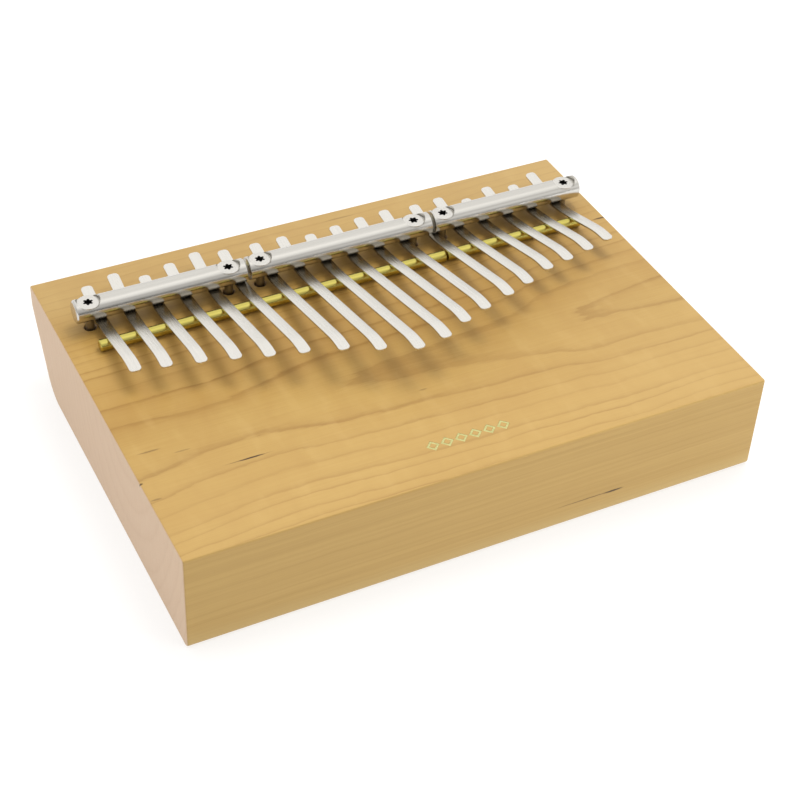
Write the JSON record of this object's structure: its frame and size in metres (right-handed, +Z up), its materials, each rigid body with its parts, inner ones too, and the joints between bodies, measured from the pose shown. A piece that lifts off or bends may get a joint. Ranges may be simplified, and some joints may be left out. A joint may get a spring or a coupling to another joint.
{
  "type": "lamellophone",
  "caption": "Thumb piano: hollow cherry board with a row of spring-steel tines clamped under round steel pressure bars, over brass bridge rods.",
  "frame": {"origin": "centre of the body's footprint, on the surface it lies on", "axes": "+Z up, +X to the right end seen by the player, +Y away from the player towards the tine tails, so the tine tips point to -Y"},
  "size_m": [0.2, 0.142, 0.0512],
  "materials": {
    "cherry": "light cherry, sanded smooth and waxed, grain along the length",
    "back_board": "thin light hardwood board, waxed",
    "inlay": "pale cream, flush with the wood",
    "bar_steel": "bright drawn steel rod, turned ends",
    "tine_steel": "bright rolled spring steel",
    "brass": "bright drawn brass rod",
    "screw_steel": "bright stainless steel"
  },
  "bodies": {
    "body": {"body_block": "cherry", "back_board": "back_board", "top_inlay": "inlay", "pressure_bar_left": "bar_steel", "pressure_bar_middle": "bar_steel", "pressure_bar_right": "bar_steel", "front_rod_left": "brass", "front_rod_middle": "brass", "front_rod_right": "brass", "back_rod_left": "brass", "back_rod_middle": "brass", "back_rod_right": "brass", "clamp_screw_1": "screw_steel", "clamp_screw_2": "screw_steel", "clamp_screw_3": "screw_steel", "clamp_screw_4": "screw_steel", "clamp_screw_5": "screw_steel", "clamp_screw_6": "screw_steel", "tine_01_shank": "tine_steel", "tine_02_shank": "tine_steel", "tine_03_shank": "tine_steel", "tine_04_shank": "tine_steel", "tine_05_shank": "tine_steel", "tine_06_shank": "tine_steel", "tine_07_shank": "tine_steel", "tine_08_shank": "tine_steel", "tine_09_shank": "tine_steel", "tine_10_shank": "tine_steel", "tine_11_shank": "tine_steel", "tine_12_shank": "tine_steel", "tine_13_shank": "tine_steel", "tine_14_shank": "tine_steel", "tine_15_shank": "tine_steel", "tine_16_shank": "tine_steel", "tine_17_shank": "tine_steel", "tine_18_shank": "tine_steel"},
    "tine_01_body": {"tine_01": "tine_steel"},
    "tine_02_body": {"tine_02": "tine_steel"},
    "tine_03_body": {"tine_03": "tine_steel"},
    "tine_04_body": {"tine_04": "tine_steel"},
    "tine_05_body": {"tine_05": "tine_steel"},
    "tine_06_body": {"tine_06": "tine_steel"},
    "tine_07_body": {"tine_07": "tine_steel"},
    "tine_08_body": {"tine_08": "tine_steel"},
    "tine_09_body": {"tine_09": "tine_steel"},
    "tine_10_body": {"tine_10": "tine_steel"},
    "tine_11_body": {"tine_11": "tine_steel"},
    "tine_12_body": {"tine_12": "tine_steel"},
    "tine_13_body": {"tine_13": "tine_steel"},
    "tine_14_body": {"tine_14": "tine_steel"},
    "tine_15_body": {"tine_15": "tine_steel"},
    "tine_16_body": {"tine_16": "tine_steel"},
    "tine_17_body": {"tine_17": "tine_steel"},
    "tine_18_body": {"tine_18": "tine_steel"}
  },
  "joints": [
    {"name": "tine_01_pluck", "type": "hinge", "parent": "body", "child": "tine_01_body", "pos_m": [-0.08542, 0.02489, 0.04167], "axis": [1, -0.0087, 0], "range_deg": [-4, 4], "stiffness_Nm_per_rad": 3.282},
    {"name": "tine_02_pluck", "type": "hinge", "parent": "body", "child": "tine_02_body", "pos_m": [-0.07577, 0.02452, 0.04174], "axis": [0.9998, -0.0175, 0], "range_deg": [-4, 4], "stiffness_Nm_per_rad": 2.965},
    {"name": "tine_03_pluck", "type": "hinge", "parent": "body", "child": "tine_03_body", "pos_m": [-0.06567, 0.02406, 0.04183], "axis": [1, 0, 0], "range_deg": [-4, 4], "stiffness_Nm_per_rad": 2.657},
    {"name": "tine_04_pluck", "type": "hinge", "parent": "body", "child": "tine_04_body", "pos_m": [-0.05572, 0.02354, 0.04194], "axis": [1, 0.0087, 0], "range_deg": [-4, 4], "stiffness_Nm_per_rad": 2.37},
    {"name": "tine_05_pluck", "type": "hinge", "parent": "body", "child": "tine_05_body", "pos_m": [-0.04591, 0.02294, 0.04206], "axis": [1, 0.0087, 0], "range_deg": [-4, 4], "stiffness_Nm_per_rad": 2.11},
    {"name": "tine_06_pluck", "type": "hinge", "parent": "body", "child": "tine_06_body", "pos_m": [-0.03594, 0.02242, 0.04216], "axis": [0.9998, 0.0175, 0], "range_deg": [-4, 4], "stiffness_Nm_per_rad": 1.925},
    {"name": "tine_07_pluck", "type": "hinge", "parent": "body", "child": "tine_07_body", "pos_m": [-0.02453, 0.02174, 0.04229], "axis": [0.9998, 0.0175, 0], "range_deg": [-4, 4], "stiffness_Nm_per_rad": 1.73},
    {"name": "tine_08_pluck", "type": "hinge", "parent": "body", "child": "tine_08_body", "pos_m": [-0.01457, 0.02084, 0.04247], "axis": [0.9998, 0.0175, 0], "range_deg": [-4, 4], "stiffness_Nm_per_rad": 1.524},
    {"name": "tine_09_pluck", "type": "hinge", "parent": "body", "child": "tine_09_body", "pos_m": [-0.00441, 0.02002, 0.04264], "axis": [0.9997, 0.0262, 0], "range_deg": [-4, 4], "stiffness_Nm_per_rad": 1.374},
    {"name": "tine_10_pluck", "type": "hinge", "parent": "body", "child": "tine_10_body", "pos_m": [0.00571, 0.02033, 0.04258], "axis": [0.9994, 0.0349, 0], "range_deg": [-4, 4], "stiffness_Nm_per_rad": 1.425},
    {"name": "tine_11_pluck", "type": "hinge", "parent": "body", "child": "tine_11_body", "pos_m": [0.0158, 0.02123, 0.0424], "axis": [0.999, 0.0436, 0], "range_deg": [-4, 4], "stiffness_Nm_per_rad": 1.603},
    {"name": "tine_12_pluck", "type": "hinge", "parent": "body", "child": "tine_12_body", "pos_m": [0.02573, 0.02191, 0.04226], "axis": [0.999, 0.0436, 0], "range_deg": [-4, 4], "stiffness_Nm_per_rad": 1.77},
    {"name": "tine_13_pluck", "type": "hinge", "parent": "body", "child": "tine_13_body", "pos_m": [0.0371, 0.02258, 0.04213], "axis": [0.999, 0.0436, 0], "range_deg": [-4, 4], "stiffness_Nm_per_rad": 1.974},
    {"name": "tine_14_pluck", "type": "hinge", "parent": "body", "child": "tine_14_body", "pos_m": [0.04687, 0.02318, 0.04201], "axis": [0.999, 0.0436, 0], "range_deg": [-4, 4], "stiffness_Nm_per_rad": 2.201},
    {"name": "tine_15_pluck", "type": "hinge", "parent": "body", "child": "tine_15_body", "pos_m": [0.05724, 0.02404, 0.04185], "axis": [0.9969, 0.0785, 0], "range_deg": [-4, 4], "stiffness_Nm_per_rad": 2.612},
    {"name": "tine_16_pluck", "type": "hinge", "parent": "body", "child": "tine_16_body", "pos_m": [0.06686, 0.02441, 0.04177], "axis": [0.9976, 0.0698, 0], "range_deg": [-4, 4], "stiffness_Nm_per_rad": 2.855},
    {"name": "tine_17_pluck", "type": "hinge", "parent": "body", "child": "tine_17_body", "pos_m": [0.07678, 0.02487, 0.04168], "axis": [0.9969, 0.0785, 0], "range_deg": [-4, 4], "stiffness_Nm_per_rad": 3.213},
    {"name": "tine_18_pluck", "type": "hinge", "parent": "body", "child": "tine_18_body", "pos_m": [0.08668, 0.0254, 0.04158], "axis": [0.9962, 0.0872, 0], "range_deg": [-4, 4], "stiffness_Nm_per_rad": 3.765}
  ]
}
